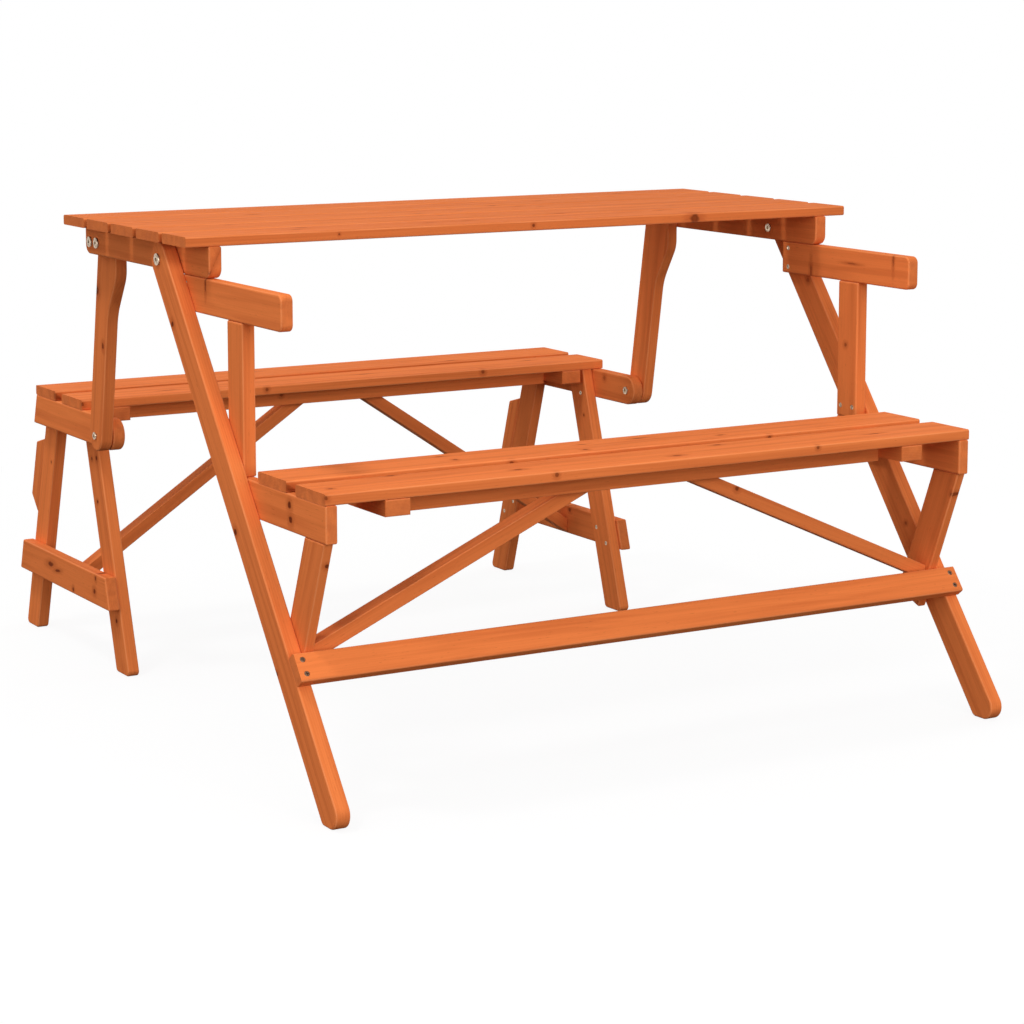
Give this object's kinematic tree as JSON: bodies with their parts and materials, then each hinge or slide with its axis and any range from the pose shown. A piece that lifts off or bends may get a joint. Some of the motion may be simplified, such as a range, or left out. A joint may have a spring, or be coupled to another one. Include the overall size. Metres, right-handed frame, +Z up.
{
  "type": "folding picnic table bench",
  "caption": "Slatted wooden picnic table with a bench on each long side; the top swings up to become the back of a deeper bench with armrests.",
  "frame": {"origin": "on the floor under the middle of the whole frame's bounding box, in the table position", "axes": "+Z up, X along the tabletop and the seats, -Y towards the front bench that carries the armrests, +Y towards the rear bench that hangs on the link arms"},
  "size_m": [1.15, 1.3675, 0.75],
  "materials": {
    "stained_pine": "satin",
    "zinc_steel": "satin"
  },
  "bodies": {
    "front_bench": {"armrest_left": "stained_pine", "armrest_post_left": "stained_pine", "armrest_post_right": "stained_pine", "armrest_right": "stained_pine", "front_bearer_left": "stained_pine", "front_bearer_right": "stained_pine", "front_bench_screws": "zinc_steel", "front_brace_left": "stained_pine", "front_brace_right": "stained_pine", "front_seat_batten_left": "stained_pine", "front_seat_batten_right": "stained_pine", "front_seat_rail": "stained_pine", "front_seat_slat_front": "stained_pine", "front_seat_slat_rear": "stained_pine", "front_stretcher": "stained_pine", "long_leg_left": "stained_pine", "long_leg_right": "stained_pine", "short_leg_left": "stained_pine", "short_leg_right": "stained_pine", "upper_pivot_bolts": "zinc_steel", "upper_pivot_nuts": "zinc_steel"},
    "table": {"arm_coach_screws": "zinc_steel", "link_arm_left": "stained_pine", "link_arm_right": "stained_pine", "table_cleat_left": "stained_pine", "table_cleat_right": "stained_pine", "table_slat_1": "stained_pine", "table_slat_2": "stained_pine", "table_slat_3": "stained_pine", "table_slat_4": "stained_pine", "table_slat_5": "stained_pine"},
    "rear_bench": {"lower_pivot_bolts": "zinc_steel", "lower_pivot_nuts": "zinc_steel", "rear_bearer_left": "stained_pine", "rear_bearer_right": "stained_pine", "rear_bench_back_leg_left": "stained_pine", "rear_bench_back_leg_right": "stained_pine", "rear_bench_front_leg_left": "stained_pine", "rear_bench_front_leg_right": "stained_pine", "rear_bench_screws": "zinc_steel", "rear_brace_left": "stained_pine", "rear_brace_right": "stained_pine", "rear_end_stretcher_left": "stained_pine", "rear_end_stretcher_right": "stained_pine", "rear_seat_batten_left": "stained_pine", "rear_seat_batten_right": "stained_pine", "rear_seat_rail": "stained_pine", "rear_seat_slat_front": "stained_pine", "rear_seat_slat_rear": "stained_pine", "stop_block_left": "stained_pine", "stop_block_right": "stained_pine"}
  },
  "joints": [
    {"name": "table_fold", "type": "hinge", "parent": "front_bench", "child": "table", "pos_m": [0, -0.124, 0.708], "axis": [-1, 0, 0], "range_deg": [0, 99.08]},
    {"name": "bench_swing", "type": "hinge", "parent": "table", "child": "rear_bench", "pos_m": [0, 0.24299, 0.395], "axis": [-1, 0, 0], "range_deg": [-99.08, 0]}
  ],
  "couplings": [
    {"joint": "bench_swing", "follows": "table_fold", "ratio": -1}
  ]
}
